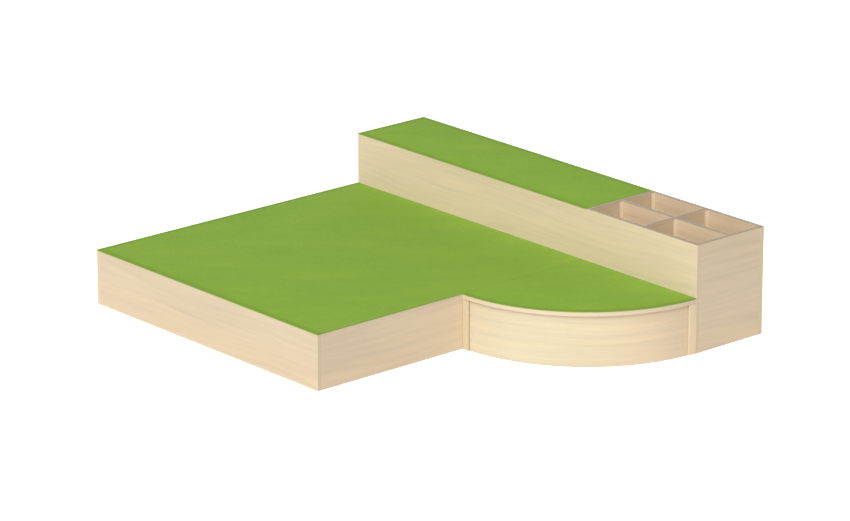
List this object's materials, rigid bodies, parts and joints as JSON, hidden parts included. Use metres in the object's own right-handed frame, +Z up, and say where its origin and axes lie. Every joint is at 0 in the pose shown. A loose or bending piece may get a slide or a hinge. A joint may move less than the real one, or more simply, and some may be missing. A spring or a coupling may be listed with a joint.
{
  "type": "stage platform",
  "caption": "Low carpeted wooden stage: a square deck, a quarter-round deck in its inner corner and a taller bench behind, with an open-topped divided store at one end.",
  "frame": {"origin": "on the floor, under the middle of the whole set's bounding box", "axes": "+Z up; the bench runs along X at the back; the set's front faces -Y and the store is at the +X end"},
  "size_m": [2.2, 1.9, 0.485],
  "materials": {
    "decor_board": "satin pale maple decor",
    "plain_board": "raw plywood",
    "solid_wood": "planed softwood",
    "carpet": "short green pile",
    "zinc_steel": "zinc plated"
  },
  "bodies": {
    "root": {"square_front_panel": "decor_board", "square_back_panel": "decor_board", "square_left_panel": "decor_board", "square_right_panel": "decor_board", "square_long_rib_front": "plain_board", "square_long_rib_back": "plain_board", "square_cross_rib_left": "plain_board", "square_cross_rib_right": "plain_board", "square_post_front_left": "solid_wood", "square_post_front_right": "solid_wood", "square_post_back_left": "solid_wood", "square_post_back_right": "solid_wood", "square_cleat_front": "solid_wood", "square_cleat_back": "solid_wood", "square_cleat_left": "solid_wood", "square_cleat_right": "solid_wood", "square_top_board": "plain_board", "square_carpet": "carpet", "quarter_left_panel": "decor_board", "quarter_back_panel": "decor_board", "quarter_curved_panel": "decor_board", "quarter_post_front": "decor_board", "quarter_post_right": "decor_board", "quarter_post_inner": "solid_wood", "quarter_former_upper": "plain_board", "quarter_former_lower": "plain_board", "quarter_rib": "plain_board", "quarter_top_board": "decor_board", "quarter_carpet": "carpet", "bench_front_panel": "decor_board", "bench_back_panel": "decor_board", "bench_left_panel": "decor_board", "bench_right_panel": "decor_board", "bench_partition": "decor_board", "bench_rib_left": "plain_board", "bench_rib_right": "plain_board", "bench_post_front": "solid_wood", "bench_post_back": "solid_wood", "bench_cleat_front": "solid_wood", "bench_cleat_back": "solid_wood", "bench_seat_board": "plain_board", "bench_carpet": "carpet", "store_floor_board": "decor_board", "store_bearer_front": "solid_wood", "store_bearer_back": "solid_wood", "store_long_divider": "decor_board", "store_cross_divider": "decor_board", "store_fillet_front_left": "decor_board", "store_fillet_front_right": "decor_board", "store_fillet_back_left": "decor_board", "store_fillet_back_right": "decor_board", "bench_left_bolt": "zinc_steel", "bench_left_sleeve_nut": "zinc_steel", "bench_right_bolt": "zinc_steel", "bench_right_sleeve_nut": "zinc_steel", "quarter_front_bolt": "zinc_steel", "quarter_front_sleeve_nut": "zinc_steel", "quarter_back_bolt": "zinc_steel", "quarter_back_sleeve_nut": "zinc_steel"}
  },
  "joints": []
}
